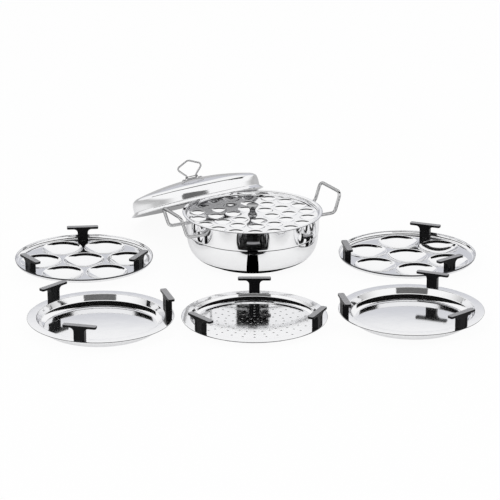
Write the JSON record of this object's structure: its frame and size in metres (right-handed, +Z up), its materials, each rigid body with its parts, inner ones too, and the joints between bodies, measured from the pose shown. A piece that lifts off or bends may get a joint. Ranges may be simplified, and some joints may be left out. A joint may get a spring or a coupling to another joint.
{
  "type": "multi kadai",
  "caption": "Two-handled steel steaming pot with a domed lid leant on it, a cupped plate in its mouth and loose idli plates, trays and a perforated plate beside it.",
  "frame": {"origin": "on the table, under the middle of the pot", "axes": "+Z up, +X to the right of the picture, +Y away from the camera"},
  "size_m": [0.8386, 0.7676, 0.1291],
  "materials": {
    "polished_steel": "mirror-polished stainless steel",
    "lug_plastic": "glossy black heat-resistant plastic",
    "base_aluminium": "plain",
    "screw_steel": "plain stainless steel"
  },
  "bodies": {
    "kadai": {"kadai_shell": "polished_steel", "kadai_base_cap": "polished_steel", "kadai_base_core": "base_aluminium", "kadai_handle_left": "polished_steel", "kadai_handle_right": "polished_steel"},
    "lid": {"lid_shell": "polished_steel", "lid_knob_bracket": "polished_steel", "lid_knob_loop": "polished_steel", "lid_rivet_left": "polished_steel", "lid_rivet_right": "polished_steel"},
    "mini_plate": {"mini_idli_plate": "polished_steel", "mini_idli_knob": "polished_steel", "mini_idli_knob_screw": "screw_steel"},
    "idli_plate_left_body": {"idli_plate_left": "polished_steel", "idli_plate_left_lug_1": "lug_plastic", "idli_plate_left_lug_2": "lug_plastic", "idli_plate_left_lug_3": "lug_plastic", "idli_plate_left_lug_screw_1": "screw_steel", "idli_plate_left_lug_screw_2": "screw_steel", "idli_plate_left_lug_screw_3": "screw_steel"},
    "idli_plate_right_body": {"idli_plate_right": "polished_steel", "idli_plate_right_lug_1": "lug_plastic", "idli_plate_right_lug_2": "lug_plastic", "idli_plate_right_lug_3": "lug_plastic", "idli_plate_right_lug_screw_1": "screw_steel", "idli_plate_right_lug_screw_2": "screw_steel", "idli_plate_right_lug_screw_3": "screw_steel"},
    "dhokla_tray_left_body": {"dhokla_tray_left": "polished_steel", "dhokla_tray_left_lug_1": "lug_plastic", "dhokla_tray_left_lug_2": "lug_plastic", "dhokla_tray_left_lug_3": "lug_plastic", "dhokla_tray_left_lug_screw_1": "screw_steel", "dhokla_tray_left_lug_screw_2": "screw_steel", "dhokla_tray_left_lug_screw_3": "screw_steel"},
    "dhokla_tray_right_body": {"dhokla_tray_right": "polished_steel", "dhokla_tray_right_lug_1": "lug_plastic", "dhokla_tray_right_lug_2": "lug_plastic", "dhokla_tray_right_lug_3": "lug_plastic", "dhokla_tray_right_lug_screw_1": "screw_steel", "dhokla_tray_right_lug_screw_2": "screw_steel", "dhokla_tray_right_lug_screw_3": "screw_steel"},
    "steamer_plate_body": {"steamer_plate": "polished_steel", "steamer_plate_lug_1": "lug_plastic", "steamer_plate_lug_2": "lug_plastic", "steamer_plate_lug_3": "lug_plastic", "steamer_plate_lug_screw_1": "screw_steel", "steamer_plate_lug_screw_2": "screw_steel", "steamer_plate_lug_screw_3": "screw_steel"}
  },
  "joints": [
    {"name": "lid_lift", "type": "slide", "parent": "kadai", "child": "lid", "axis": [0, 0, 1], "range_m": [0, 0.16]},
    {"name": "mini_plate_lift", "type": "slide", "parent": "kadai", "child": "mini_plate", "axis": [0, 0, 1], "range_m": [0, 0.08]},
    {"name": "idli_plate_left_lift", "type": "slide", "parent": "kadai", "child": "idli_plate_left_body", "axis": [0, 0, 1], "range_m": [0, 0.08]},
    {"name": "idli_plate_right_lift", "type": "slide", "parent": "kadai", "child": "idli_plate_right_body", "axis": [0, 0, 1], "range_m": [0, 0.08]},
    {"name": "dhokla_tray_left_lift", "type": "slide", "parent": "kadai", "child": "dhokla_tray_left_body", "axis": [0, 0, 1], "range_m": [0, 0.08]},
    {"name": "dhokla_tray_right_lift", "type": "slide", "parent": "kadai", "child": "dhokla_tray_right_body", "axis": [0, 0, 1], "range_m": [0, 0.08]},
    {"name": "steamer_plate_lift", "type": "slide", "parent": "kadai", "child": "steamer_plate_body", "axis": [0, 0, 1], "range_m": [0, 0.08]}
  ],
  "couplings": [
    {"joint": "mini_plate_lift", "follows": "lid_lift", "ratio": 0.5}
  ]
}
